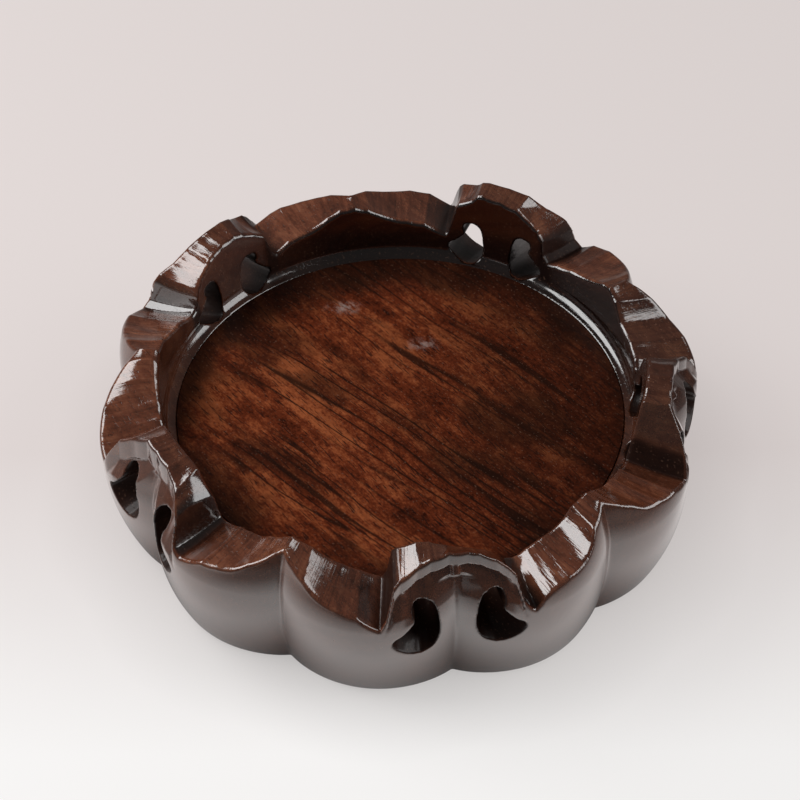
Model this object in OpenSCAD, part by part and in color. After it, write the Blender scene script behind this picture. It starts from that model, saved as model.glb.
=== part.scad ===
// Round carved hardwood stand: a lobed ring of five wall pieces with pierced ruyi heads,
// a floor board held by its tongue, a dovetailed brace and hidden dowels.
// Millimetres. Z up, origin on the table under the middle, front ruyi head towards -Y.

/* [Overall] */
// diameter across the widest lobes
stand_d = 136; // [116:1:170]
// height of the ruyi heads over the table
stand_h = 41.5; // [37:0.5:52]
// height of the dish floor over the table
floor_z = 23; // [20:0.5:26]
// thickness of the wall at the foot of a groove
foot_wall = 7.2; // [6.6:0.1:9]

/* [Wall] */
// how far a lobe stands out from its grooves at the foot
lobe_foot = 4.8; // [3:0.1:6]
// how far a lobe stands out from its grooves at the belly
lobe_belly = 5.8; // [4:0.1:7]
// roundness of a lobe, smaller is fuller
lobe_power = 0.8; // [0.6:0.05:1.2]
// height of the belly over the table
belly_z = 24.5; // [20:0.5:28]
// how far the foot is tucked in under the belly
foot_tuck = 4.6; // [2:0.1:5.5]
// how far the wall draws in from the belly to the top of the heads
top_draw = 5.7; // [3:0.1:7]
// radius of the cove where the wall meets the floor
cove_r = 2; // [1:0.1:2.6]
// outward lean of the inner wall, degrees
inner_lean = 11; // [6:0.5:14]

/* [Rim] */
// height of the rim over the floor at the joints
joint_rise = 13.4; // [11:0.1:16]
// height of the rim's outer edge over the floor in the notch beside a head
notch_rise = 2; // [1:0.1:3.5]
// height of the rim's inner edge over the floor in the same notch
notch_inner_rise = 4.9; // [4.2:0.1:6]
// where the notch lies, in degrees from the middle of a head
notch_turn = 15; // [13:0.5:17]

/* [Heads] */
// height of the band along the top of a head
band_t = 4.6; // [3:0.1:6]
// depth of the carved ground under the band
ground_d = 1.6; // [0.5:0.1:2]
// how far the carved ground runs down from the band
ground_h = 6; // [4:0.5:7]
// width of the upright, in degrees, over which the ground runs out at the groove
ground_inner = 1.5; // [0.5:0.1:3]

/* [Holes in the heads] */
// width of the upright between the two holes of a head
hole_gap = 8.4; // [6:0.1:11]
// width of a hole from the upright to its tail
hole_w = 9.8; // [7:0.1:11]
// height of the holes' tops over the floor
hole_rise = 10.9; // [8:0.1:12]
// how far the holes' foot lies below the floor on the outside
hole_drop = 9; // [5:0.1:9.5]
// wood left over the floor at the inner end of a hole
hole_lip = 0.4; // [0.3:0.1:1.5]

/* [Floor board] */
// thickness of the board
board_t = 10; // [8:0.5:12]
// thickness of the tongue around the board
tongue_t = 3.5; // [2.5:0.1:4]
// how far the tongue reaches into the wall
tongue_depth = 3; // [2:0.1:3.4]
// depth of the tongue's top below the floor
tongue_low = 4.5; // [4:0.1:5]
// room for the wood to move around the board and its tongue
board_play = 0.15; // [0.1:0.05:0.3]
// direction of the board's grain from the X axis, degrees
grain_turn = -54; // [-90:1:90]

/* [Brace] */
// width of the brace at its neck under the board
brace_w = 11; // [8:0.5:16]
// how far the brace is let into the board
brace_in = 4; // [3:0.5:5]
// how far the brace stands out below the board
brace_out = 4; // [3:0.5:6]
// how much wider the dovetail is at its top, each side
brace_flare = 1.4; // [0.8:0.1:2]
// room around the dovetail in its slot
brace_play = 0.05; // [0.05:0.05:0.2]

/* [Dowels] */
// diameter of the dowels in the joints
dowel_d = 4; // [3:0.1:4.4]
// length of a dowel
dowel_l = 14; // [10:1:18]
// height of the lower dowels over the table
dowel_low_z = 7.6; // [5:0.1:9]
// height of the upper dowels over the floor
dowel_rise = 4.6; // [4:0.1:6]
// room at each end of a dowel in its bore
dowel_end_play = 0.5; // [0.2:0.1:1]

/* [Hidden] */
$fn = 96;

heads = 5;
pitch = 360 / heads;
half_pitch = pitch / 2;
front_turn = -90;
stand_r = stand_d / 2;

// the groove between two lobes swells from its foot to the belly and draws in again above it
groove_belly_r = stand_r - lobe_belly;
groove_foot_r = groove_belly_r - foot_tuck;
foot_power = 1.5;
top_power = 1.85;
floor_r = groove_foot_r - foot_wall;
head_rise = stand_h - floor_z;

// the band along the top of a head runs on across its groove
band_full = stand_h - band_t;
band_soft = 3.5;
band_fill = 0.68;

// carver's marks from the middle of a head to the notch, as shares of that way, with the
// height of the rim's outer and inner edge as shares of the climb from the notch to the head
head_marks = [
  [0, 0.99, 1], [0.12, 0.98, 1], [0.24, 0.97, 1], [0.36, 0.9, 0.93], [0.48, 0.83, 0.86], [0.63, 0.71, 0.75],
  [0.75, 0.6, 0.47], [0.83, 0.44, 0.08], [0.92, 0.17, 0]
];
// the same from the notch to the joint, with the climb from the notch to the joint
rim_marks = [
  [0, 0, 0.04], [0.08, 0.13, 0.13], [0.145, 0.21, 0.2], [0.21, 0.29, 0.27], [0.28, 0.34, 0.32],
  [0.35, 0.385, 0.37], [0.44, 0.42, 0.4], [0.52, 0.46, 0.43], [0.58, 0.49, 0.5], [0.64, 0.53, 0.58],
  [0.69, 0.61, 0.67], [0.745, 0.69, 0.76], [0.8, 0.77, 0.83], [0.86, 0.86, 0.9], [0.915, 0.92, 0.94],
  [0.96, 0.965, 0.975], [1, 1, 1]
];
// shares of the outer face from its foot to where the ground under the band starts
outer_steps = [0, 0.13, 0.29, 0.46, 0.63, 0.81, 1];
// height of the sharp step from the ground to the band
band_step = 0.3;
// where the ground starts to run out and has run out, as shares of the way to the notch
ground_full = 0.6;
ground_end = 0.84;
// heights on the inner face, as shares of the cove and then of the way from cove to rim
cove_steps = [0.12, 0.45, 1];
inner_steps = [0.2, 0.4, 0.6, 0.8, 1];
// wood inside the floor's radius that the round cut takes off again
spare = 1;

// outline of a comma-shaped hole as pairs across it, from its foot to its top: share of the
// width at the upright's side and at the tail's side, each with its share of the height
hole_marks = [
  [0.34, 0, 0.46, 0], [0.2, 0.03, 0.62, 0.035], [0.1, 0.1, 0.81, 0.12], [0.03, 0.22, 0.96, 0.23],
  [0, 0.34, 1, 0.3], [0, 0.46, 0.76, 0.51], [0.02, 0.58, 0.6, 0.65], [0.05, 0.7, 0.525, 0.73],
  [0.1, 0.83, 0.545, 0.83], [0.18, 0.92, 0.51, 0.92], [0.29, 0.985, 0.41, 0.985]
];
hole_top = floor_z + hole_rise;
hole_foot = floor_z - hole_drop;

board_low = floor_z - board_t;
tongue_z = floor_z - tongue_low - tongue_t;
brace_top_w = brace_w + 2 * brace_flare;
brace_turn = grain_turn + 90;
dowel_high_z = floor_z + dowel_rise;

function mix(a, b, t) = a + (b - a) * t;
function limit(x) = min(1, max(0, x));
function ease(x) = limit(x) * limit(x) * (3 - 2 * limit(x));

// columns of half a wall piece: turn from the head's middle, outer and inner rim height
half_columns = concat(
  [for (m = head_marks) [
    m[0] * notch_turn,
    floor_z + mix(notch_rise, head_rise, m[1]),
    floor_z + mix(notch_inner_rise, head_rise, m[2])
  ]],
  [for (m = rim_marks) [
    mix(notch_turn, half_pitch, m[0]),
    floor_z + mix(notch_rise, joint_rise, m[1]),
    floor_z + mix(notch_inner_rise, joint_rise, m[2])
  ]]
);
half_count = len(half_columns);
columns = concat(
  [for (i = [half_count - 1:-1:1]) [-half_columns[i][0], half_columns[i][1], half_columns[i][2]]],
  half_columns
);

function groove_r(z) = z < belly_z
  ? groove_belly_r - foot_tuck * pow((belly_z - z) / belly_z, foot_power)
  : groove_belly_r - top_draw * pow((z - belly_z) / (stand_h - belly_z), top_power);
function lobe_out(z) = mix(lobe_foot, lobe_belly, limit(z / belly_z));
function round_lobe(turn) = pow(max(0, sin(180 * abs(turn) / half_pitch)), lobe_power);
function lobe_share(turn, z) =
  let (full = round_lobe(turn), band = ease((z - band_full) / band_soft + 1))
  abs(turn) < half_pitch / 2 ? full + max(0, band_fill - full) * band : full;
function outer_r(turn, z) = groove_r(z) + lobe_out(z) * lobe_share(turn, z);

// the inner face starts with a round cove on the floor and then leans outwards
function cove_out(h) = h < cove_r ? sqrt(max(0, 2 * cove_r * h - h * h)) : cove_r;
function inner_r(z) = floor_r + cove_out(z - floor_z) + max(0, z - floor_z - cove_r) * tan(inner_lean);

// depth of the carved ground beside the groove, running out towards the notch
function ground_depth(turn) =
  let (side = (ground_end - abs(turn) / notch_turn) / (ground_end - ground_full))
  ground_d * ease(abs(turn) / ground_inner) * ease(side);

function at(turn, r, z) = [r * cos(turn), r * sin(turn), z];
function outer_points(c) =
  let (turn = c[0], edge = c[1] - band_t, low = edge - ground_h, deep = edge - band_step)
  concat(
    [for (s = outer_steps) at(turn, outer_r(turn, s * low), s * low)],
    [
      at(turn, outer_r(turn, deep) - ground_depth(turn), deep),
      at(turn, outer_r(turn, edge), edge),
      at(turn, outer_r(turn, c[1]), c[1])
    ]
  );
function inner_heights(top) = concat(
  [for (s = cove_steps) floor_z + s * cove_r],
  [for (s = inner_steps) mix(floor_z + cove_r, top, s)]
);
function inner_points(c) = concat(
  [at(c[0], floor_r - spare, 0), at(c[0], floor_r - spare, floor_z - spare)],
  [for (z = inner_heights(c[2])) at(c[0], inner_r(z), z)]
);

// a wall piece before it is cut, with its head on the X axis
module wall_blank() {
  n = len(outer_points(columns[0]));
  ring = 2 * n;
  points = [for (c = columns) each concat(outer_points(c), inner_points(c))];
  // around a section: up the outside, then down the inside
  around = concat([for (j = [0:n - 1]) j], [for (j = [n - 1:-1:0]) n + j]);
  sides = [
    for (i = [0:len(columns) - 2])
      for (j = [0:ring - 1])
        let (a = i * ring + around[j], b = i * ring + around[(j + 1) % ring])
        each [[a, b, b + ring], [a, b + ring, a + ring]]
  ];
  last = (len(columns) - 1) * ring;
  near_end = [for (j = [0:n - 2]) each [[j, n + j, j + 1], [n + j, n + j + 1, j + 1]]];
  far_end = [for (f = near_end) [last + f[0], last + f[2], last + f[1]]];
  polyhedron(points = points, faces = concat(sides, near_end, far_end), convexity = 10);
}

// a hole runs through the head, and its foot slopes down to the outside
module head_hole() {
  reach = 4;
  outer_x = stand_r + reach;
  inner_x = floor_r - reach;
  face_x = outer_r(notch_turn / 2, hole_foot);
  slope = (hole_drop + hole_lip) / (face_x - floor_r);
  outer_tall = hole_top - hole_foot + slope * (outer_x - face_x);
  inner_tall = hole_top - hole_foot - slope * (face_x - inner_x);
  n = len(hole_marks);
  ring = 2 * n;
  outline = concat(
    [for (m = hole_marks) [m[0], m[1]]],
    [for (i = [n - 1:-1:0]) [hole_marks[i][2], hole_marks[i][3]]]
  );
  points = [
    for (end = [[outer_x, outer_tall], [inner_x, inner_tall]])
      for (p = outline)
        [end[0], (hole_gap / 2 + p[0] * hole_w) * end[0] / face_x, hole_top - (1 - p[1]) * end[1]]
  ];
  sides = [
    for (j = [0:ring - 1])
      let (k = (j + 1) % ring)
      each [[j, ring + j, ring + k], [j, ring + k, k]]
  ];
  outer_end = [
    for (j = [0:n - 2])
      let (k = ring - 1 - j)
      each [[j, j + 1, k], [j + 1, k - 1, k]]
  ];
  inner_end = [for (f = outer_end) [ring + f[0], ring + f[2], ring + f[1]]];
  polyhedron(points = points, faces = concat(sides, outer_end, inner_end), convexity = 6);
}

function dowel_r(z) = (groove_r(z) + (z < floor_z ? floor_r : inner_r(z))) / 2;

module dowel_rod(turn, z, length) {
  rotate([0, 0, turn])
    translate([dowel_r(z), 0, z])
      rotate([90, 0, 0])
        cylinder(d = dowel_d, h = length, center = true);
}

module wall_piece(turn) {
  color([0.24, 0.11, 0.07])
    rotate([0, 0, turn])
      difference() {
        wall_blank();
        translate([0, 0, -spare])
          cylinder(r = floor_r, h = floor_z + spare);
        rotate_extrude()
          translate([floor_r - spare, tongue_z - board_play])
            square([tongue_depth + board_play + spare, tongue_t + 2 * board_play]);
        head_hole();
        mirror([0, 1, 0])
          head_hole();
        for (end = [-1, 1])
          for (z = [dowel_low_z, dowel_high_z])
            dowel_rod(end * half_pitch, z, dowel_l + 2 * dowel_end_play);
      }
}

module brace_shape(length, play) {
  rotate([0, 0, brace_turn])
    rotate([90, 0, 90])
      translate([0, board_low, -length / 2])
        linear_extrude(height = length)
          polygon([
            [-brace_w / 2 - play, -brace_out], [brace_w / 2 + play, -brace_out],
            [brace_w / 2 + play, 0], [brace_top_w / 2 + play, brace_in + play],
            [-brace_top_w / 2 - play, brace_in + play], [-brace_w / 2 - play, 0]
          ]);
}

module floor_board() {
  color([0.33, 0.15, 0.09])
    difference() {
      union() {
        translate([0, 0, board_low])
          cylinder(r = floor_r - board_play, h = board_t);
        translate([0, 0, tongue_z])
          cylinder(r = floor_r + tongue_depth - board_play, h = tongue_t);
      }
      brace_shape(3 * floor_r, brace_play);
    }
}

module floor_brace() {
  color([0.28, 0.13, 0.08])
    intersection() {
      brace_shape(2 * floor_r, 0);
      cylinder(r = floor_r - board_play, h = floor_z);
    }
}

module joint_dowel(number, z) {
  color([0.45, 0.25, 0.14])
    dowel_rod(front_turn + half_pitch + number * pitch, z, dowel_l);
}

module wall_front() { wall_piece(front_turn); }
module wall_right() { wall_piece(front_turn + pitch); }
module wall_back_right() { wall_piece(front_turn + 2 * pitch); }
module wall_back_left() { wall_piece(front_turn + 3 * pitch); }
module wall_left() { wall_piece(front_turn + 4 * pitch); }

module lower_dowel_front_right() { joint_dowel(0, dowel_low_z); }
module lower_dowel_right_back() { joint_dowel(1, dowel_low_z); }
module lower_dowel_back() { joint_dowel(2, dowel_low_z); }
module lower_dowel_left_back() { joint_dowel(3, dowel_low_z); }
module lower_dowel_left_front() { joint_dowel(4, dowel_low_z); }

module upper_dowel_front_right() { joint_dowel(0, dowel_high_z); }
module upper_dowel_right_back() { joint_dowel(1, dowel_high_z); }
module upper_dowel_back() { joint_dowel(2, dowel_high_z); }
module upper_dowel_left_back() { joint_dowel(3, dowel_high_z); }
module upper_dowel_left_front() { joint_dowel(4, dowel_high_z); }

floor_board();
floor_brace();
wall_front();
wall_right();
wall_back_right();
wall_back_left();
wall_left();
lower_dowel_front_right();
lower_dowel_right_back();
lower_dowel_back();
lower_dowel_left_back();
lower_dowel_left_front();
upper_dowel_front_right();
upper_dowel_right_back();
upper_dowel_back();
upper_dowel_left_back();
upper_dowel_left_front();
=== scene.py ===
"""Looks of a round carved hardwood stand: five wall pieces carved by one rule, a grained floor board and soft light."""
import math

import bmesh
import bpy
from mathutils import Matrix, Vector


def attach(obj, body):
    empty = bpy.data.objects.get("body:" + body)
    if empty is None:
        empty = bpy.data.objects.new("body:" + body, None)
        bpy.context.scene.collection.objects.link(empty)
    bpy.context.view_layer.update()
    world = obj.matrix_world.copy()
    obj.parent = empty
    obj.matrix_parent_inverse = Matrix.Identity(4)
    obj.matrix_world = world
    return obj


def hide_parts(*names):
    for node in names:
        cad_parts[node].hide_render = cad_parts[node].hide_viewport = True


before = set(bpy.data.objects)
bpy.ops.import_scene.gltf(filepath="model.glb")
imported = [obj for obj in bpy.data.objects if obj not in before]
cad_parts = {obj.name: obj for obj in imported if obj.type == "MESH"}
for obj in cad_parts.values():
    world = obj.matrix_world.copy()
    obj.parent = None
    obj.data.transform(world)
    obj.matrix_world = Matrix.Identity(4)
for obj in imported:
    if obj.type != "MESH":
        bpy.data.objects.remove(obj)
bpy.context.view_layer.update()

MM = 0.001

# turns round the stand, in degrees: the middle of each wall piece's head, and how far a piece runs to each side of it
HEADS = {"wall_front": -90, "wall_right": -18, "wall_back_right": 54, "wall_back_left": 126, "wall_left": 198}
HALF_PITCH = 36.0
# how the grain and the pores lie, how far left of the front the camera stands, the side whose inner faces get the
# most painted shade, and the side whose rims get painted shade
GRAIN_TURN = -54.0
PORE_TURN = -63.0
VIEW_TURN = 10.86
SHADED_TURN = 54.0
RIM_SHADE_TURN = -8.0

# sizes of a wall piece as its carving rule takes them: millimetres, degrees of the lean, and shares
WALL_SIZES = {
    "Stand height": 41.5,
    "Belly height": 24.5,
    "Groove belly radius": 62.2,
    "Foot tuck": 4.6,
    "Top draw": 5.7,
    "Lobe at foot": 4.8,
    "Lobe at belly": 5.8,
    "Groove softness": 0.03,
    "Floor height": 22.85,
    "Floor radius": 50.4,
    "Cove radius": 2.6,
    "Inner lean": 7.2,
    "Inner bevel": 0.7,
    "Outer bevel": 0.5,
    "Band thickness": 3.8,
    "Band fill": 0.68,
    "Band splay": 0.55,
    "Ground depth": 1.3,
    "Ground height": 8.0,
    "Hole gap": 8.4,
    "Hole width": 10.6,
    "Hole top": 30.4,
    "Hole rise": 0.2,
    "Hole foot": 15.0,
    "Hole lip": 0.4,
    "Tongue height": 16.75,
    "Tongue room": 3.8,
    "Tongue reach": 53.55,
    "Bore width": 4.0,
    "Bore depth": 7.5,
    "Low bore height": 7.6,
    "Low bore radius": 54.98,
    "High bore height": 27.6,
    "High bore radius": 57.43,
}
# where one piece was cut otherwise than the rest
OWN_SIZES = {"wall_left": {"Band thickness": 6.0, "Ground depth": 0.6}}

# where one form of a wall piece passes softly into the next, in degrees from the middle of its head
HEAD_SIDE = (12.0, 15.0)
GROUND_START = (0.3, 1.3)
GROUND_END = (9.4, 11.2)
NOTCH_START = (10.6, 12.4)
NOTCH_END = (14.6, 17.0)
# the same in millimetres: the height where the lobes fill up to the band, how soon the ground starts under the band,
# and the height where a notch starts
BAND_FILL_HEIGHT = (33.4, 36.9)
GROUND_EDGE = 0.3
NOTCH_HEIGHT = (21.5, 23.5)
# how the lobes curve: round the stand, toward the foot and toward the top
LOBE_POWER, FOOT_POWER, TOP_POWER = 0.4, 2.4, 1.85
# how far from the axis the outline of the holes is drawn
HOLE_FACE = 66.2

BLOCK_LOW, BLOCK_HIGH = Vector((39.6, -38.6, -0.7)), Vector((68.6, 38.6, 42.3))
BLOCK_GRAIN, QUICK_GRAIN = 0.345, 0.5
ARRIS_WEAR = 0.11
# how the rough skin settles on the faces: rounds, how far a slope is felt for, the longest step, and limits that keep
# the sums from running away
ROUNDS, FEELER, LONGEST_STEP = 3, 0.02, 0.4
LEAST_SLOPE, LEAST_STRENGTH, MOST_WEIGHT = 0.05, 0.1, 30.0

# the rim line: how far it runs to each side of the head and its step, in degrees; how deep a facet dips along the rim
# for its length, and at most; and how far it is hollowed across the wall where nothing else is said
RIM_REACH, RIM_STEP = 38.0, 0.05
FACET_DIP, MOST_DIP = 0.014, 0.25
PLAIN_HOLLOW = 0.4

# each wall piece's rim as the carver cut it, from joint to joint: a facet edge's turn and height outside, then inside,
# and its hollow where that isn't plain
RIM_CUTS = {
    "wall_front": [
        (-36.0, 36.3, -36.0, 36.3), (-32.8, 34.6, -33.4, 35.0), (-30.1, 33.2, -31.2, 34.4, 0.0),
        (-27.4, 31.0, -28.2, 32.1, 0.0), (-23.4, 29.7, -24.4, 30.6), (-19.0, 28.5, -20.2, 29.2),
        (-14.9, 25.1, -15.4, 27.6), (-13.9, 27.6, -14.4, 29.6), (-12.4, 35.3, -13.2, 37.2), (-11.2, 36.9, -11.9, 38.4),
        (-7.5, 39.0, -7.7, 40.3), (-5.0, 40.3, -4.8, 40.0), (-1.2, 41.3, -1.2, 38.2), (2.6, 41.0, 2.6, 36.4),
        (5.0, 40.3, 5.0, 35.2), (8.4, 38.2, 8.2, 33.4), (10.2, 36.6, 9.9, 31.8), (11.4, 34.8, 11.0, 30.6),
        (11.9, 31.0, 11.8, 29.4), (12.2, 27.6, 13.0, 28.2), (13.0, 26.0, 14.4, 27.8), (14.4, 24.5, 15.8, 27.2),
        (16.0, 27.3, 17.6, 27.6), (17.3, 28.4, 19.1, 28.6), (19.2, 29.2, 20.9, 29.2), (21.8, 29.9, 23.0, 29.9),
        (26.6, 31.0, 27.7, 31.1), (28.6, 32.6, 30.3, 33.1), (30.6, 35.0, 31.8, 35.2), (36.0, 36.3, 36.0, 36.3),
    ],
    "wall_right": [
        (-36.0, 36.3, -36.0, 36.3), (-33.1, 34.7, -33.4, 35.0), (-30.3, 33.1, -30.8, 33.4), (-28.0, 31.2, -28.6, 32.0),
        (-24.5, 30.4, -25.0, 31.3), (-20.0, 29.2, -20.4, 30.4), (-16.4, 27.4, -16.8, 28.6), (-14.4, 26.2, -14.8, 28.0),
        (-12.6, 29.4, -13.2, 30.2), (-7.2, 40.2, -7.6, 40.2), (-3.6, 41.0, -3.8, 41.2), (0.0, 41.3, 0.0, 41.5),
        (4.0, 40.9, 4.0, 41.4), (7.6, 38.8, 7.4, 39.8), (10.8, 36.0, 10.6, 36.8), (12.4, 32.4, 12.4, 32.0),
        (13.8, 27.8, 13.6, 29.4), (15.2, 25.4, 15.0, 29.0), (17.5, 27.0, 16.8, 30.4), (22.5, 29.0, 22.0, 31.0),
        (27.6, 29.6, 28.6, 31.3, 0.0), (31.2, 33.3, 32.4, 34.7, 0.0), (33.6, 35.0, 34.4, 35.4),
        (36.0, 36.3, 36.0, 36.3),
    ],
    "wall_back_right": [
        (-36.0, 36.3, -36.0, 36.3), (-33.0, 34.6, -33.0, 35.4), (-27.6, 31.2, -28.4, 33.2), (-21.6, 29.2, -21.8, 31.6),
        (-17.2, 27.2, -17.2, 30.4), (-14.3, 24.6, -14.4, 29.6), (-12.8, 26.4, -13.0, 31.0), (-12.3, 29.8, -12.4, 35.0),
        (-11.8, 32.6, -10.4, 37.4), (-8.4, 36.2, -8.2, 38.4), (-6.3, 38.2, -5.9, 39.6), (-4.9, 40.6, -4.2, 40.4),
        (0.0, 41.2, 0.0, 41.2), (4.6, 41.4, 4.6, 41.5), (6.4, 40.4, 5.8, 41.2), (7.4, 38.6, 7.0, 39.8),
        (11.2, 35.6, 10.4, 38.0), (12.4, 33.8, 11.0, 36.6), (14.0, 28.2, 12.4, 31.0), (14.6, 25.2, 13.4, 29.0),
        (18.8, 28.5, 18.9, 31.2), (22.8, 29.9, 23.0, 31.8), (26.9, 30.7, 27.3, 32.7), (29.0, 31.8, 29.8, 33.8),
        (32.2, 34.4, 32.6, 35.3), (36.0, 36.3, 36.0, 36.3),
    ],
    "wall_back_left": [
        (-36.0, 36.3, -36.0, 36.3), (-32.0, 34.7, -32.6, 36.1), (-29.4, 33.0, -29.2, 34.5), (-26.3, 31.5, -26.4, 32.9),
        (-22.3, 30.2, -21.6, 31.9), (-20.3, 28.9, -18.8, 31.3), (-17.4, 26.7, -14.8, 29.4), (-15.7, 29.2, -13.4, 31.0),
        (-12.6, 34.0, -12.0, 36.2), (-10.2, 35.6, -9.2, 38.0), (-7.3, 39.0, -5.8, 39.6), (-4.5, 40.4, -3.6, 40.2),
        (-0.6, 39.8, 0.4, 40.0), (2.0, 38.9, 3.4, 39.3), (4.2, 38.0, 5.0, 38.8), (4.8, 36.9, 6.2, 37.8),
        (6.5, 36.2, 7.6, 37.0), (8.4, 35.3, 9.2, 36.0), (11.2, 33.9, 11.0, 34.0), (12.3, 31.5, 11.8, 32.4),
        (12.6, 26.0, 13.0, 29.8), (14.4, 24.9, 14.6, 29.3), (20.0, 28.6, 20.0, 31.2), (25.4, 30.8, 26.0, 33.0),
        (31.0, 33.8, 31.0, 35.4), (36.0, 36.3, 36.0, 36.3),
    ],
    "wall_left": [
        (-36.0, 36.3, -36.0, 36.3, -0.4), (-33.0, 34.7, -33.0, 35.7, -0.9), (-29.0, 31.9, -29.4, 34.2, -0.9),
        (-27.0, 30.4, -26.6, 33.0, -0.6), (-25.6, 30.3, -21.6, 31.0), (-20.4, 28.4, -19.6, 30.4),
        (-15.2, 25.2, -15.2, 28.6), (-13.3, 30.0, -13.4, 31.6), (-11.5, 34.8, -11.6, 36.4), (-8.8, 37.6, -8.6, 39.4),
        (-4.2, 41.0, -4.0, 41.4), (0.0, 41.3, 0.0, 41.5), (4.6, 41.1, 4.6, 41.5), (7.0, 39.9, 6.6, 41.3),
        (10.4, 38.4, 8.4, 40.6, -0.8), (12.6, 34.8, 12.8, 34.2, -1.2), (13.1, 31.1, 13.5, 30.6),
        (13.8, 28.0, 14.4, 28.8), (15.6, 26.9, 16.0, 28.6), (21.0, 29.9, 21.0, 30.4), (24.2, 30.3, 24.4, 30.9),
        (27.5, 30.9, 27.4, 31.4), (29.7, 32.4, 29.6, 32.8), (33.9, 35.1, 33.6, 34.9), (36.0, 36.3, 36.0, 36.3),
    ],
}

# a hole's two sides from its foot to its top: share of the height, share of the width
UPRIGHT_SIDE = [
    (-0.1, 0.8), (-0.012, 0.4), (0.0, 0.34), (0.03, 0.2), (0.1, 0.1), (0.22, 0.03), (0.34, 0.0), (0.46, 0.0),
    (0.58, 0.02), (0.7, 0.04), (0.83, 0.08), (0.92, 0.14), (0.985, 0.26), (1.0, 0.35), (1.1, 0.8),
]
TAIL_SIDE = [
    (-0.1, 0.0), (-0.012, 0.4), (0.0, 0.46), (0.035, 0.62), (0.12, 0.81), (0.23, 0.96), (0.3, 1.0), (0.51, 0.76),
    (0.65, 0.6), (0.73, 0.54), (0.83, 0.585), (0.92, 0.575), (0.985, 0.46), (1.0, 0.35), (1.1, 0.0),
]
HOLE_MARGIN = 0.1

# the noises of the wood: steps per millimetre along and across the grain, detail, roughness and shift
NOISES = {
    "sway": (0.02, 0.05, 1.0, 0.5, 0.0),
    "patches": (0.03, 0.085, 3.0, 0.6, 0.0),
    "bands": (0.011, 0.26, 3.0, 0.6, 5.3),
    "spots": (0.16, 0.45, 2.0, 0.55, 44.0),
    "streaks": (0.05, 0.8, 3.0, 0.65, 3.7),
    "mottle": (0.5, 0.75, 5.0, 0.75, 31.0),
    "pores": (0.25, 2.6, 1.0, 0.5, 11.3),
    "flecks": (1.5, 2.0, 1.0, 0.5, 17.0),
    "rings": (0.0045, 0.11, 2.0, 0.45, 8.1),
    "shown veins": (0.012, 0.1, 1.0, 0.5, 21.0),
    "grit": (1.3, 2.0, 2.0, 0.6, 71.0),
    "blotches": (0.035, 0.06, 3.0, 0.55, 61.0),
}
WALL_TONES = [(0.36, (0.04, 0.01, 0.004)), (0.5, (0.15, 0.044, 0.021)), (0.64, (0.3, 0.11, 0.055))]
FLOOR_TONES = [(0.38, (0.028, 0.005, 0.002)), (0.5, (0.134, 0.026, 0.009)), (0.61, (0.32, 0.086, 0.03))]
# the colour of dark lines and blotches in the wood, also used for painted shade on the floor
DARK_LINE_AND_SHADE = (0.014, 0.005, 0.003)
# the colour of open pores, also used for painted shade on the wall
PORE_AND_SHADE = (0.01, 0.004, 0.003)
LOBE_BROWN = (0.085, 0.032, 0.019)
FLECK = (0.22, 0.12, 0.08)
SCUFF = (0.3, 0.24, 0.22)
# scuffs on the floor, as seen by the camera: right, back, half length, half width, strength
SCUFFS = [(-12.9, 34.0, 5.5, 3.0, 0.75), (5.2, 21.7, 5.0, 3.0, 0.6)]
WOOD_IOR, LACQUER_IOR, LACQUER_ROUGHNESS = 1.55, 2.1, 0.1

# painted light on the glowing pale sheet on the table, from front to back: brightest in front
SHEET_TONES = [(0.34, (1.0, 0.985, 0.975)), (0.52, (0.795, 0.725, 0.71)), (0.95, (0.77, 0.705, 0.69))]

# the camera: rise and roll in degrees, what it looks at and how far off in millimetres, lens and sensor
CAMERA_RISE, CAMERA_ROLL = 45.39, -0.47
CAMERA_AIM, CAMERA_DISTANCE = Vector((4.94, 26.06, 0)), 935.3
LENS, SENSOR = 180, 36


class Figure:
    """A number worked out inside a node tree, so that a carving rule can be written as plain sums."""

    def __init__(self, tree, socket):
        self.tree = tree
        self.socket = socket

    def sum(self, operation, *others):
        node = self.tree.nodes.new("ShaderNodeMath")
        node.operation = operation
        for slot, value in zip(node.inputs, (self, *others)):
            feed(self.tree, value, slot)
        return Figure(self.tree, node.outputs[0])

    def __add__(self, other):
        return self.sum("ADD", other)

    def __sub__(self, other):
        return self.sum("SUBTRACT", other)

    def __rsub__(self, other):
        return -self + other

    def __mul__(self, other):
        return self.sum("MULTIPLY", other)

    __radd__, __rmul__ = __add__, __mul__

    def __truediv__(self, other):
        return self.sum("DIVIDE", other)

    def __pow__(self, other):
        return self.sum("POWER", other)

    def __neg__(self):
        return self.sum("MULTIPLY", -1.0)

    def __abs__(self):
        return self.sum("ABSOLUTE")

    def least(self, other):
        return self.sum("MINIMUM", other)

    def most(self, other):
        return self.sum("MAXIMUM", other)

    def within(self, low=0.0, high=1.0):
        return self.most(low).least(high)

    def root(self):
        return self.sum("SQRT")

    def below(self, other):
        return self.sum("LESS_THAN", other)

    def eased(self, low, high, start=0.0, end=1.0):
        """Goes softly from start to end while the number goes from low to high."""
        node = self.tree.nodes.new("ShaderNodeMapRange")
        node.interpolation_type = "SMOOTHSTEP"
        for name, value in (("Value", self), ("From Min", low), ("From Max", high), ("To Min", start), ("To Max", end)):
            feed(self.tree, value, node.inputs[name])
        return Figure(self.tree, node.outputs["Result"])

    def faded(self, low, high):
        """Goes softly from 1 to 0 while the number goes from low to high."""
        return self.eased(low, high, 1.0, 0.0)


def feed(tree, value, slot):
    """Puts a number, a socket or a figure into an input."""
    if isinstance(value, Figure):
        tree.links.new(value.socket, slot)
    elif isinstance(value, bpy.types.NodeSocket):
        tree.links.new(value, slot)
    else:
        slot.default_value = value


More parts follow.
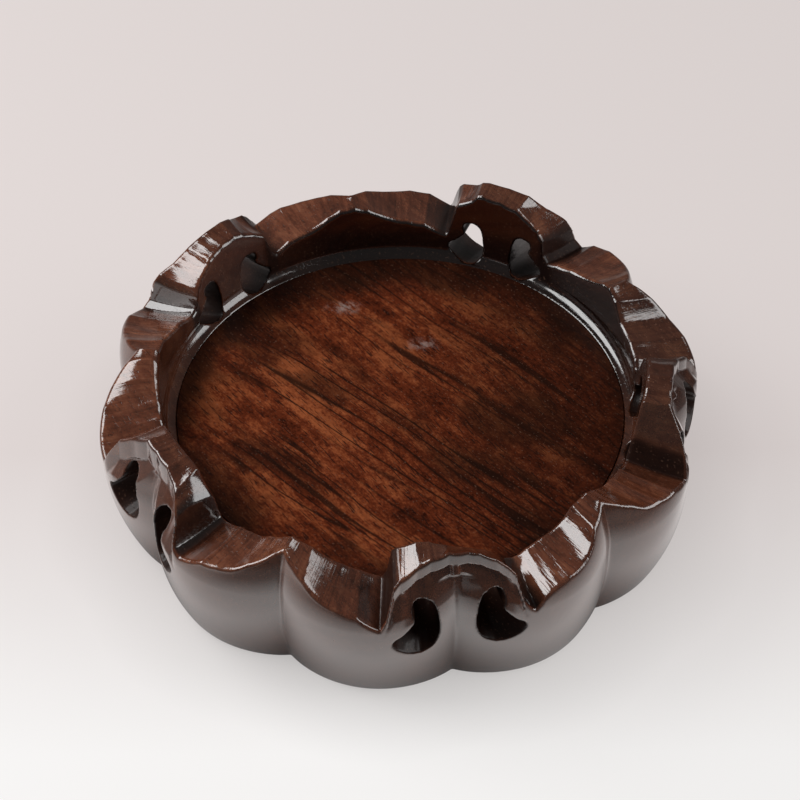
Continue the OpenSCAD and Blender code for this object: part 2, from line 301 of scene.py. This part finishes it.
def put(tree, kind, settings=None, **inputs):
    """Adds a node with its settings, and its inputs by name (with _ for a space)."""
    node = tree.nodes.new(kind)
    for name, value in (settings or {}).items():
        setattr(node, name, value)
    for name, value in inputs.items():
        feed(tree, value, node.inputs[name.replace("_", " ")])
    return node


def parts_of(tree, vector):
    """The X, Y and Z of a vector."""
    return [Figure(tree, part) for part in put(tree, "ShaderNodeSeparateXYZ", Vector=vector).outputs]


def vector_sum(tree, operation, a, b=None, scale=None):
    """One step of vector reckoning: its number for a length or a dot product, its vector otherwise."""
    node = put(tree, "ShaderNodeVectorMath", {"operation": operation})
    feed(tree, a, node.inputs[0])
    if b is not None:
        feed(tree, b, node.inputs[1])
    if scale is not None:
        feed(tree, scale, node.inputs["Scale"])
    return node.outputs["Value" if operation in ("LENGTH", "DOT_PRODUCT") else "Vector"]


def length_of(x, y):
    """How far off a place is, from its two offsets."""
    return (x * x + y * y).root()


def turn_of(x, y):
    """The turn of a place round the axis, in degrees."""
    return y.sum("ARCTAN2", x) * math.degrees(1)


def drawn_curve(tree, share, marks):
    """A Float Curve through marks whose places run from -HOLE_MARGIN to 1 + HOLE_MARGIN."""
    node = put(tree, "ShaderNodeFloatCurve")
    node.mapping.use_clip = False
    line = node.mapping.curves[0]
    spread = 1 + 2 * HOLE_MARGIN
    placed = [((at + HOLE_MARGIN) / spread, value) for at, value in marks]
    while len(line.points) < len(placed):
        line.points.new(0.5, 0.5)
    for point, (at, value) in zip(line.points, placed):
        point.location = (at, value)
        point.handle_type = "AUTO_CLAMPED"
    node.mapping.update()
    feed(tree, ((share + HOLE_MARGIN) / spread).within(), node.inputs["Value"])
    return Figure(tree, node.outputs[0])


def new_tree(name, sizes, takes, gives):
    """A Geometry Nodes tree with named inputs for its sizes, and its input and output nodes."""
    tree = bpy.data.node_groups.new(name, "GeometryNodeTree")
    for socket, kind in takes:
        tree.interface.new_socket(socket, in_out="INPUT", socket_type=kind)
    for socket, value in sizes.items():
        made = tree.interface.new_socket(socket, in_out="INPUT", socket_type="NodeSocketFloat")
        made.default_value = value
    for socket, kind in gives:
        tree.interface.new_socket(socket, in_out="OUTPUT", socket_type=kind)
    return tree, tree.nodes.new("NodeGroupInput"), tree.nodes.new("NodeGroupOutput")


FACES = ["Outside", "Inside", "Rim", "Inner bevel", "Outer bevel", "Holes", "Foot", "Joints"]


def rim_at(tree, rim, turn):
    """The slant, outer height, inner height and hollow of the rim line at a turn."""
    place = (turn + RIM_REACH) / RIM_STEP
    first = place.sum("FLOOR")

    def read(kind, value, step):
        settings = {"data_type": kind, "clamp": True}
        node = put(tree, "GeometryNodeSampleIndex", settings, Geometry=rim, Index=first + step)
        tree.links.new(value, node.inputs["Value"])
        return node.outputs[0]

    between = put(tree, "ShaderNodeMix", {"data_type": "VECTOR"})
    feed(tree, place - first, between.inputs[0])
    spot = put(tree, "GeometryNodeInputPosition").outputs[0]
    for step, slot in ((0, 4), (1, 5)):
        tree.links.new(read("FLOAT_VECTOR", spot, step), between.inputs[slot])
    hollow = put(tree, "GeometryNodeInputNamedAttribute", {"data_type": "FLOAT"}, Name="hollow").outputs["Attribute"]
    return [*parts_of(tree, between.outputs[1]), Figure(tree, read("FLOAT", hollow, 0))]


def carved_faces():
    """The rule of the carving: how far a place lies outside each face of a wall piece with its head on the X axis."""
    tree, given, result = new_tree(
        "carved_faces", WALL_SIZES,
        [("Rim line", "NodeSocketGeometry"), ("Place", "NodeSocketVector")],
        [(name, "NodeSocketFloat") for name in FACES],
    )
    size = {name: Figure(tree, given.outputs[name]) for name in WALL_SIZES}
    rim = given.outputs["Rim line"]
    x, y, z = parts_of(tree, given.outputs["Place"])
    r, turn = length_of(x, y), turn_of(x, y)
    side = abs(turn)

    # the outer face: ten lobes that swell to a belly
    belly = size["Belly height"]
    wave = (turn * math.radians(180 / HALF_PITCH)).sum("SINE")
    soft = size["Groove softness"]
    low = soft ** (2 * LOBE_POWER)
    full = ((wave * wave + soft * soft) ** LOBE_POWER - low) / (1.0 - low)

    def lobed(level, filled):
        tuck = ((belly - level).most(0.0) / belly) ** FOOT_POWER
        draw = ((level - belly).most(0.0) / (size["Stand height"] - belly)) ** TOP_POWER
        groove = size["Groove belly radius"] - size["Foot tuck"] * tuck - size["Top draw"] * draw
        lobe = size["Lobe at foot"] + (size["Lobe at belly"] - size["Lobe at foot"]) * (level / belly).within()
        return groove + lobe * (full + (size["Band fill"] - full).most(0.0) * filled)

    # each head is closed by a band that stands upright under the rim, over a ground that slopes in behind it
    slant, _, _, _ = rim_at(tree, rim, turn)
    _, top_z, _, _ = rim_at(tree, rim, turn - slant * 0.5)
    head = side.faded(*HEAD_SIDE)
    edge = top_z - size["Band thickness"]
    plain = lobed(z, z.eased(*BAND_FILL_HEIGHT) * side.below(HALF_PITCH / 2))
    upright = lobed(top_z, head) + (edge - z).most(0.0) * size["Band splay"]
    face = plain + (plain.least(upright) - plain) * head
    rise = ((z - edge + size["Ground height"]) / (size["Ground height"] - GROUND_EDGE)).within()
    under = rise.least(((edge - z) / GROUND_EDGE).within())
    sunk = side.eased(*GROUND_START) * side.faded(*GROUND_END)
    outer = face - size["Ground depth"] * sunk * under

    # the inner face: a round cove on the floor, then a wall that leans out
    over_floor = z - size["Floor height"]
    cove_z = over_floor.most(0.0).least(size["Cove radius"])
    cove = (cove_z * (2.0 * size["Cove radius"] - cove_z)).root()
    lean = (size["Inner lean"] * math.radians(1)).sum("TANGENT")
    inner = size["Floor radius"] + cove + (over_floor - size["Cove radius"]).most(0.0) * lean

    # rim heights here, read along the carver's rim line, whose facet edges may slant across the wall
    across = ((r - inner) / (face - inner)).within()
    _, outer_z, inner_z, hollow = rim_at(tree, rim, turn - slant * (across - 0.5))
    rim_z = inner_z + (outer_z - inner_z) * across - hollow * 4.0 * across * (1.0 - across)

    # a comma-shaped hole on each side of the head's groove, whose foot slopes down to the outside
    slope = (size["Floor height"] + size["Hole lip"] - size["Hole foot"]) / (HOLE_FACE - size["Floor radius"])
    hole_top = size["Hole top"] + size["Hole rise"] * (HOLE_FACE - x)
    hole_foot = size["Hole foot"] + slope * (HOLE_FACE - x)
    up = 1.0 - (hole_top - z) / (hole_top - hole_foot)
    along = (abs(y) * HOLE_FACE / x - size["Hole gap"] * 0.5) / size["Hole width"]
    wide = (drawn_curve(tree, up, UPRIGHT_SIDE) - along).most(along - drawn_curve(tree, up, TAIL_SIDE))

    # the hidden groove for the board's tongue, and the dowel bores in the two ends
    tongue = (abs(z - size["Tongue height"]) - size["Tongue room"] * 0.5).most(r - size["Tongue reach"])
    cos_end, sin_end = math.cos(math.radians(HALF_PITCH)), math.sin(math.radians(HALF_PITCH))
    end_x = x * cos_end + abs(y) * sin_end
    end_y = abs(abs(y) * cos_end - x * sin_end) - size["Bore depth"]
    joints = -tongue
    for level in ("Low", "High"):
        off_bore = length_of(end_x - size[level + " bore radius"], z - size[level + " bore height"])
        joints = joints.most(-(off_bore - size["Bore width"] * 0.5).most(end_y))

    over = z - rim_z
    faces = {"Outside": r - outer, "Inside": inner - r, "Rim": over, "Holes": -wide * size["Hole width"],
             "Foot": -z, "Joints": joints}
    for name, beside in (("Inner bevel", faces["Inside"]), ("Outer bevel", r - face)):
        faces[name] = (beside + over + size[name]) * math.sqrt(0.5)
    for name in FACES:
        feed(tree, faces[name], result.inputs[name])
    return tree


def wall_tree():
    """Carves a wall piece out of a block with the rule, settles its skin on the faces with worn arrises, and turns it
    to its place."""
    rule = carved_faces()
    tree, given, result = new_tree(
        "carved_wall",
        {**WALL_SIZES, "Grain of the block": BLOCK_GRAIN, "Arris wear": ARRIS_WEAR, "Place round the stand": 0.0},
        [("Rim line", "NodeSocketGeometry"), ("Finish", "NodeSocketMaterial")],
        [("Wall piece", "NodeSocketGeometry")],
    )

    def faces_at(place):
        node = put(tree, "GeometryNodeGroup", {"node_tree": rule})
        tree.links.new(given.outputs["Rim line"], node.inputs["Rim line"])
        feed(tree, place, node.inputs["Place"])
        for name in WALL_SIZES:
            tree.links.new(given.outputs[name], node.inputs[name])
        return [Figure(tree, node.outputs[name]) for name in FACES]

    here = put(tree, "GeometryNodeInputPosition").outputs[0]
    here_mm = vector_sum(tree, "SCALE", here, scale=1 / MM)

    outermost, *others = faces_at(here_mm)
    for face in others:
        outermost = outermost.most(face)
    block = put(tree, "GeometryNodeVolumeCube", Density=(1.0 - outermost).most(0.0),
                Min=BLOCK_LOW * MM, Max=BLOCK_HIGH * MM)
    fineness = Figure(tree, given.outputs["Grain of the block"]) ** -1.0
    for axis, length in zip("XYZ", BLOCK_HIGH - BLOCK_LOW):
        feed(tree, fineness * length, block.inputs["Resolution " + axis])
    skin = put(tree, "GeometryNodeVolumeToMesh", Volume=block.outputs[0], Threshold=1.0).outputs[0]

    # each point of the rough skin settles on the faces, blended where they meet
    wear = Figure(tree, given.outputs["Arris wear"])
    for _ in range(ROUNDS):
        at_point = faces_at(here_mm)
        beside = [faces_at(vector_sum(tree, "ADD", here_mm, [FEELER if i == axis else 0 for i in range(3)]))
                  for axis in range(3)]
        total, pull = None, None
        for number, face in enumerate(at_point):
            slope = put(tree, "ShaderNodeCombineXYZ")
            for axis in range(3):
                feed(tree, (beside[axis][number] - face) / FEELER, slope.inputs[axis])
            steep = Figure(tree, vector_sum(tree, "LENGTH", slope.outputs[0])).most(LEAST_SLOPE)
            weight = (face / steep / wear).within(-MOST_WEIGHT, MOST_WEIGHT).sum("EXPONENT")
            lean = vector_sum(tree, "SCALE", slope.outputs[0], scale=weight / steep)
            total = weight if total is None else total + weight
            pull = lean if pull is None else vector_sum(tree, "ADD", pull, lean)
        depth = total.sum("LOGARITHM", math.e) * wear
        out = vector_sum(tree, "SCALE", pull, scale=total ** -1.0)
        strength = Figure(tree, vector_sum(tree, "DOT_PRODUCT", out, out)).most(LEAST_STRENGTH)
        step = (depth / strength).within(-LONGEST_STEP, LONGEST_STEP) * -MM
        skin = put(tree, "GeometryNodeSetPosition", Geometry=skin,
                   Offset=vector_sum(tree, "SCALE", out, scale=step)).outputs[0]

    # what the finish has to know of each place: the recesses, which are duller and get painted shade, and the notches
    # beside the head and the inner face, which get painted shade
    at_skin = dict(zip(FACES, faces_at(here_mm)))
    x, y, z = parts_of(tree, here_mm)
    side = abs(turn_of(x, y))
    notch = side.eased(*NOTCH_START) * side.faded(*NOTCH_END) * at_skin["Outside"].faded(-0.9, -0.3)
    notch = notch * z.eased(*NOTCH_HEIGHT)
    dull_and_shaded = at_skin["Holes"].eased(-0.5, -0.1).most(notch * y.below(0.0))
    shares = {"recess": dull_and_shaded, "notch": notch, "inner": at_skin["Inside"].eased(-0.6, -0.2)}
    for name, share in shares.items():
        skin = put(tree, "GeometryNodeStoreNamedAttribute", {"data_type": "FLOAT", "domain": "POINT"},
                   Geometry=skin, Name=name, Value=share).outputs[0]
    turned = put(tree, "ShaderNodeCombineXYZ", Z=Figure(tree, given.outputs["Place round the stand"]) * math.radians(1))
    skin = put(tree, "GeometryNodeTransform", Geometry=skin, Rotation=turned.outputs[0]).outputs[0]
    skin = put(tree, "GeometryNodeSetShadeSmooth", Geometry=skin).outputs[0]
    skin = put(tree, "GeometryNodeRealizeInstances", Geometry=skin).outputs[0]
    skin = put(tree, "GeometryNodeSetMaterial", Geometry=skin, Material=given.outputs["Finish"]).outputs[0]
    feed(tree, skin, result.inputs[0])
    return tree


def rim_line(name):
    """The carver's line along the rim of one wall piece, as points of slant, outer height and inner height, with a
    hollow. Past the joints it runs back as in a mirror."""
    cuts = [(*cut, PLAIN_HOLLOW)[:5] for cut in RIM_CUTS[name]]
    points, hollows = [], []
    for i in range(round(2 * RIM_REACH / RIM_STEP) + 1):
        turn = i * RIM_STEP - RIM_REACH
        if abs(turn) > HALF_PITCH:
            turn = math.copysign(2 * HALF_PITCH, turn) - turn
        for (t0, out0, u0, in0, hollow0), (t1, out1, u1, in1, hollow1) in zip(cuts, cuts[1:]):
            begin, end = (t0 + u0) / 2, (t1 + u1) / 2
            if turn <= end:
                break
        share = (turn - begin) / (end - begin)
        dip = min(FACET_DIP * (end - begin) ** 2, MOST_DIP) * 4 * share * (1 - share)
        slant = (t0 - u0) + (t1 - u1 - t0 + u0) * share
        points.append((slant, out0 + (out1 - out0) * share - dip, in0 + (in1 - in0) * share - dip))
        hollows.append(hollow0 + (hollow1 - hollow0) * share)
    mesh = bpy.data.meshes.new(name + "_rim")
    mesh.from_pydata(points, [], [])
    mesh.attributes.new("hollow", "FLOAT", "POINT").data.foreach_set("value", hollows)
    return mesh


def set_up(name, data):
    """A new object in the scene."""
    made = bpy.data.objects.new(name, data)
    bpy.context.scene.collection.objects.link(made)
    return made


def set_input(modifier, name, value):
    """Sets a node modifier's input by its name."""
    for item in modifier.node_group.interface.items_tree:
        if item.item_type == "SOCKET" and item.in_out == "INPUT" and item.name == name:
            modifier[item.identifier] = value


def drop_chips(work):
    """Takes away all that isn't joined to the largest part of a mesh."""
    largest, waiting = set(), set(work.verts)
    while waiting:
        start = waiting.pop()
        part, edge_of_part = {start}, [start]
        while edge_of_part:
            for edge in edge_of_part.pop().link_edges:
                for vert in edge.verts:
                    if vert not in part:
                        part.add(vert)
                        edge_of_part.append(vert)
        waiting -= part
        largest = max(largest, part, key=len)
    bmesh.ops.delete(work, geom=[v for v in work.verts if v not in largest], context="VERTS")


def cut_ends(mesh, turn):
    """Saws both ends of a wall piece flat at the joints, closes them, makes their edges sharp and drops loose chips."""
    work = bmesh.new()
    work.from_mesh(mesh)
    for end in (-1, 1):
        angle = math.radians(turn + end * HALF_PITCH)
        away = Vector((-math.sin(angle), math.cos(angle), 0)) * end
        cut = bmesh.ops.bisect_plane(work, geom=work.verts[:] + work.edges[:] + work.faces[:], dist=1e-7,
                                     plane_co=(0, 0, 0), plane_no=away, clear_outer=True)
        rim = [e for e in cut["geom_cut"] if isinstance(e, bmesh.types.BMEdge)]
        bmesh.ops.triangle_fill(work, edges=rim, use_beauty=True, normal=away)
        for edge in rim:
            edge.smooth = False
    drop_chips(work)
    work.to_mesh(mesh)
    work.free()


def wall_piece(tree, name, turn, finish):
    """Carves one wall piece, saws its ends and puts it in the place of the solid one."""
    carving = set_up(name + "_carving", rim_line(name))
    modifier = carving.modifiers.new("carving", "NODES")
    modifier.node_group = tree
    set_input(modifier, "Finish", finish)
    set_input(modifier, "Place round the stand", float(turn))
    for size, value in OWN_SIZES.get(name, {}).items():
        set_input(modifier, size, value)
    mesh = bpy.data.meshes.new_from_object(carving.evaluated_get(bpy.context.evaluated_depsgraph_get()))
    mesh.name = "carved_" + name
    bpy.data.objects.remove(carving)
    cut_ends(mesh, turn)
    piece = set_up("carved_" + name, mesh)
    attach(piece, "root")
    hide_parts(name)


def laid_along(tree, turn):
    """Places on a piece in millimetres, turned so that X runs at a turn round the stand."""
    spot = put(tree, "ShaderNodeTexCoord").outputs["Object"]
    return put(tree, "ShaderNodeMapping", Vector=spot, Rotation=(0, 0, -math.radians(turn)),
               Scale=(1 / MM, 1 / MM, 1 / MM)).outputs[0]


def grain_noise(tree, lie, kind):
    """One of the soft noises of the wood, drawn out along the grain."""
    along, across, detail, roughness, shift = NOISES[kind]
    drawn = put(tree, "ShaderNodeMapping", Vector=lie, Scale=(along, across, across), Location=(shift, shift, shift))
    noise = put(tree, "ShaderNodeTexNoise", Vector=drawn.outputs[0], Scale=1.0, Detail=detail, Roughness=roughness)
    return Figure(tree, noise.outputs["Fac"])


def toned(tree, share, tones):
    """A colour ramp from a list of (place, colour)."""
    node = put(tree, "ShaderNodeValToRGB", Fac=share)
    ramp = node.color_ramp
    while len(ramp.elements) < len(tones):
        ramp.elements.new(0.5)
    for element, (place, colour) in zip(ramp.elements, tones):
        element.position = place
        element.color = (*colour, 1)
    return node.outputs[0]


def tinted(tree, share, colour, other):
    """A colour that gives way to another one by a share."""
    node = put(tree, "ShaderNodeMix", {"data_type": "RGBA"})
    feed(tree, share, node.inputs["Factor"])
    for name, value in (("A", colour), ("B", (*other, 1))):
        feed(tree, value, next(s for s in node.inputs if s.name == name and s.type == "RGBA"))
    return next(s for s in node.outputs if s.type == "RGBA")


def wall_marks_and_shade(tree):
    """Fine marks of the knife across the rim, only on faces that look up; how far a face looks out; how far a place
    lies on the shaded side; and where painted shade darkens the rims on the right side and the tops of the heads."""
    x, y, z = parts_of(tree, laid_along(tree, 0.0))
    r = length_of(x, y)
    polar = put(tree, "ShaderNodeCombineXYZ", X=turn_of(x, y) * 1.5, Y=r * 0.09, Z=z * 0.05)
    marks = put(tree, "ShaderNodeTexNoise", Vector=polar.outputs[0], Scale=1.0, Detail=2.5, Roughness=0.6)
    face_x, face_y, face_up = parts_of(tree, put(tree, "ShaderNodeTexCoord").outputs["Normal"])
    outward = (face_x * x + face_y * y) / r
    on_rim = face_up.eased(0.35, 0.75) * z.eased(26.8, 28.0).most(r.eased(55.6, 57.0))
    far, toward = [(x * math.cos(math.radians(turn)) + y * math.sin(math.radians(turn))) / r
                   for turn in (SHADED_TURN, RIM_SHADE_TURN)]
    # painted shade: the rims darken on the right side and at the tops of the heads
    painted_rim_shade = (toward.eased(0.8, 0.96) * 0.55).most(z.eased(36.8, 39.0) * 0.4)
    return (Figure(tree, marks.outputs["Fac"]) - 0.5) * on_rim, outward, far, painted_rim_shade


def floor_veins(tree, lie):
    """Thin dark lines along the growth rings, which come and go."""
    rings = grain_noise(tree, lie, "rings")
    shown = grain_noise(tree, lie, "shown veins").eased(0.4, 0.56)
    return abs((rings * 11.0).sum("FRACT") - 0.5).faded(0.03, 0.17) * shown


def floor_shade_and_wear(tree, colour, patches, mottle):
    """Dark polish that is left in blotches, painted shade toward the wall and over the right side, and two pale scuffs.
    """
    x, y, z = parts_of(tree, laid_along(tree, -VIEW_TURN))
    blotches = grain_noise(tree, laid_along(tree, GRAIN_TURN), "blotches")
    colour = tinted(tree, blotches.eased(0.48, 0.62) * 0.6, colour, DARK_LINE_AND_SHADE)
    # painted shade: the floor darkens near the wall and over its right side, away from the lamps
    ring = (length_of(x, y) + y.eased(0.0, 40.0, 0.0, 6.0) + (patches - 0.5) * 20.0).eased(41.0, 51.5)
    shade = (x + (patches - 0.5) * 100.0).eased(-12.0, 50.0)
    colour = tinted(tree, (ring * 0.85).most(shade * 0.62), colour, DARK_LINE_AND_SHADE)
    for at_x, at_y, long, wide, strength in SCUFFS:
        near = length_of((x - at_x) / long, (y - at_y) / wide).faded(0.2, 1.0)
        colour = tinted(tree, near * mottle.eased(0.42, 0.62) * z.eased(18.0, 20.0) * strength, colour, SCUFF)
    return colour


def wood(name, tones, pore_cut, roughness, depth, coat=0.0, shine=0.5, use=None):
    """Hardwood, with lacquer where it has a coat: patches, bands, spots and streaks along the grain, mottling, open
    pores and pale flecks. The wall has its knife marks and its painted shade on top of that, and the floor its dark
    veins, grit, dark blotches, two scuffs, painted shade near the wall and on the right side, and painted light at its
    left edge."""
    material = bpy.data.materials.new(name)
    material.use_nodes = True
    tree = material.node_tree
    shader = tree.nodes["Principled BSDF"]
    lie, fine = laid_along(tree, GRAIN_TURN), laid_along(tree, PORE_TURN)
    sway = grain_noise(tree, lie, "sway")
    bend = put(tree, "ShaderNodeCombineXYZ", Y=(sway - 0.5) * 7.0).outputs[0]
    bent, fine_bent = vector_sum(tree, "ADD", lie, bend), vector_sum(tree, "ADD", fine, bend)
    patches, bands = grain_noise(tree, bent, "patches"), grain_noise(tree, bent, "bands")
    spots, streaks = grain_noise(tree, fine_bent, "spots"), grain_noise(tree, fine_bent, "streaks")
    mottle = grain_noise(tree, fine, "mottle")
    pores = grain_noise(tree, fine_bent, "pores").eased(pore_cut, pore_cut + 0.07)
    flecks = grain_noise(tree, fine, "flecks").eased(0.64, 0.74)
    share = patches * 0.36 + bands * 0.14 + spots * 0.16 + streaks * 0.1 + mottle * 0.24
    height = streaks * 0.3 + mottle * 0.7 - pores * 0.5
    rough = roughness + mottle * 0.06 + pores * 0.15
    if use == "wall":
        recess, notch, inner = [
            Figure(tree, put(tree, "ShaderNodeAttribute", {"attribute_name": stored}).outputs["Fac"])
            for stored in ("recess", "notch", "inner")]
        hollowed = recess.most(notch)
        marks, outward, far, painted_rim_shade = wall_marks_and_shade(tree)
        marks = marks * (1.0 - hollowed)
        share = share + marks * 0.25
        height = height * outward.eased(0.5, 0.85, 1.0, 0.15) + marks * 6.0
        rough = rough + recess * 0.35
        coat = coat - recess * 0.9
    if use == "floor":
        grit = grain_noise(tree, fine, "grit")
        # painted light: the floor's tone is lighter toward its left edge
        to_right = parts_of(tree, laid_along(tree, -VIEW_TURN))[0]
        share = (share - 0.5) * 1.3 + 0.5 + (grit - 0.5) * 0.22 + to_right.eased(-46.0, -15.0, 0.05, 0.0)
    colour = toned(tree, share, tones)
    if use == "floor":
        colour = tinted(tree, floor_veins(tree, bent) * 0.85, colour, DARK_LINE_AND_SHADE)
        colour = tinted(tree, pores * 0.75, colour, PORE_AND_SHADE)
        colour = floor_shade_and_wear(tree, colour, patches, mottle)
    else:
        colour = tinted(tree, pores * 0.4, colour, PORE_AND_SHADE)
    if use == "wall":
        colour = tinted(tree, outward.eased(0.6, 0.9) * 0.7, colour, LOBE_BROWN)
        # painted shade: the wall darkens toward pore colour in its holes and notches, on the inner faces toward the far
        # side, on the right rims and on the head tops
        colour = tinted(tree, (hollowed * 0.9).most(inner * far.eased(0.2, 0.8, 0.45, 1.0)).most(painted_rim_shade), colour, PORE_AND_SHADE)
    colour = tinted(tree, flecks * 0.35, colour, FLECK)
    relief = put(tree, "ShaderNodeBump", Strength=1.0, Distance=depth, Height=height).outputs[0]
    looks = {
        "Base Color": colour, "Roughness": rough, "IOR": WOOD_IOR, "Specular IOR Level": shine, "Coat Weight": coat,
        "Coat Roughness": LACQUER_ROUGHNESS, "Coat IOR": LACQUER_IOR, "Normal": relief, "Coat Normal": relief,
    }
    for slot, value in looks.items():
        feed(tree, value, shader.inputs[slot])
    return material


def sheet_finish():
    """A pale sheet that glows for the camera with painted light, brightest in front, and a painted contact shadow by
    the foot over its own shadow; in gloss painted shade makes it darker at the foot and away from the stand."""
    material = bpy.data.materials.new("pale_table")
    material.use_nodes = True
    tree = material.node_tree
    x, y, _ = parts_of(tree, laid_along(tree, -VIEW_TURN))
    tone = toned(tree, y * 0.002 + 0.5, SHEET_TONES)
    matt = tree.nodes["Principled BSDF"]
    for slot, value in {"Base Color": tone, "Roughness": 0.7, "Specular IOR Level": 0.2}.items():
        feed(tree, value, matt.inputs[slot])
    ray = put(tree, "ShaderNodeLightPath")
    in_gloss, in_camera, passing = [
        Figure(tree, ray.outputs["Is %s Ray" % kind]) for kind in ("Glossy", "Camera", "Transmission")]
    # painted shadow: ambient occlusion darkens the glow near the foot
    near_foot = Figure(tree, put(tree, "ShaderNodeAmbientOcclusion", {"samples": 8}, Distance=20 * MM).outputs["AO"])
    plain = 1.0 - (1.0 - near_foot) * 0.35
    # painted shade in reflections: the glow seen in gloss darkens by the foot and away from the stand
    off_sheet = (abs(x) - 100.0).most(abs(y - 15.0) - 125.0).eased(0.0, 90.0, 1.0, 0.3)
    from_axis = length_of(x, y)
    far_tone = x.eased(-120.0, -60.0, 0.8, 0.2)
    mirrored = off_sheet * from_axis.eased(57.0, 75.0, 0.1, 0.95) * from_axis.eased(70.0, 125.0, 1.0, far_tone)
    glow = put(tree, "ShaderNodeEmission", Color=tone, Strength=plain + (mirrored - plain) * in_gloss)
    both = put(tree, "ShaderNodeMixShader", Fac=(in_gloss + (in_camera + passing) * 0.7).within())
    tree.links.new(matt.outputs[0], both.inputs[1])
    tree.links.new(glow.outputs[0], both.inputs[2])
    tree.links.new(both.outputs[0], tree.nodes["Material Output"].inputs["Surface"])
    return material


def direction(turn, rise):
    """The way out from the stand at a turn round it and a rise over the table."""
    a, e = math.radians(turn), math.radians(rise)
    return Vector((math.cos(e) * math.cos(a), math.cos(e) * math.sin(a), math.sin(e)))


def softbox(name, turn, rise, distance, width, height, energy, mirrored=True):
    """A soft lamp that looks at the stand from a side that is given as seen by the camera."""
    lamp = bpy.data.lights.new(name, "AREA")
    lamp.shape, lamp.size, lamp.size_y, lamp.energy = "RECTANGLE", width, height, energy
    box = set_up(name, lamp)
    toward = direction(turn - VIEW_TURN, rise)
    box.matrix_world = toward.to_track_quat("Z", "Y").to_matrix().to_4x4()
    box.location = toward * distance
    box.visible_glossy = mirrored


# the pieces
wall_wood = wood("wall_wood", WALL_TONES, 0.62, 0.05, 0.015 * MM, coat=1.0, shine=0.2, use="wall")
floor_wood = wood("floor_wood", FLOOR_TONES, 0.6, 0.36, 0.02 * MM, shine=0.08, use="floor")
brace_wood = wood("brace_wood", WALL_TONES, 0.58, 0.5, 0.05 * MM)
dowel_wood = wood("dowel_wood", WALL_TONES, 0.58, 0.55, 0.05 * MM)
carved_wall = wall_tree()
for name, turn in HEADS.items():
    wall_piece(carved_wall, name, turn, wall_wood)
for name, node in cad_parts.items():
    if name not in HEADS:
        finish = {"floor_board": floor_wood, "floor_brace": brace_wood}.get(name, dowel_wood)
        node.data.materials.clear()
        node.data.materials.append(finish)

# the table
sheet = bpy.data.meshes.new("table")
sheet.from_pydata([(-3, -3, 0), (3, -3, 0), (3, 3, 0), (-3, 3, 0)], [], [(0, 1, 2, 3)])
sheet.materials.append(sheet_finish())
table = set_up("table", sheet)

# the camera
lens = bpy.data.cameras.new("camera")
lens.lens, lens.sensor_width = LENS, SENSOR
lens.clip_start, lens.clip_end = 0.05, 50
camera = set_up("camera", lens)
camera_turn, roll = -90 - VIEW_TURN, math.radians(CAMERA_ROLL)
back = direction(camera_turn, CAMERA_RISE)
right = direction(camera_turn + 90, 0)
up = back.cross(right)
right, up = math.cos(roll) * right + math.sin(roll) * up, -math.sin(roll) * right + math.cos(roll) * up
eye = CAMERA_AIM * MM + back * CAMERA_DISTANCE * MM
camera.matrix_world = Matrix(((right.x, up.x, back.x, eye.x), (right.y, up.y, back.y, eye.y),
                              (right.z, up.z, back.z, eye.z), (0, 0, 0, 1)))
bpy.context.scene.camera = camera

# the light
world = bpy.data.worlds.new("studio")
bpy.context.scene.world = world
world.use_nodes = True
world.node_tree.nodes["Background"].inputs["Color"].default_value = (1, 0.98, 0.97, 1)
world.node_tree.nodes["Background"].inputs["Strength"].default_value = 0.05
softbox("left_softbox", 165, 40, 0.6, 0.46, 0.32, 1.6)
softbox("left_fill", 165, 45, 0.6, 0.46, 0.4, 1.5, mirrored=False)
softbox("right_softbox", -2, 30, 0.9, 0.62, 0.8, 3.5)
bpy.context.scene.view_settings.view_transform = "Standard"
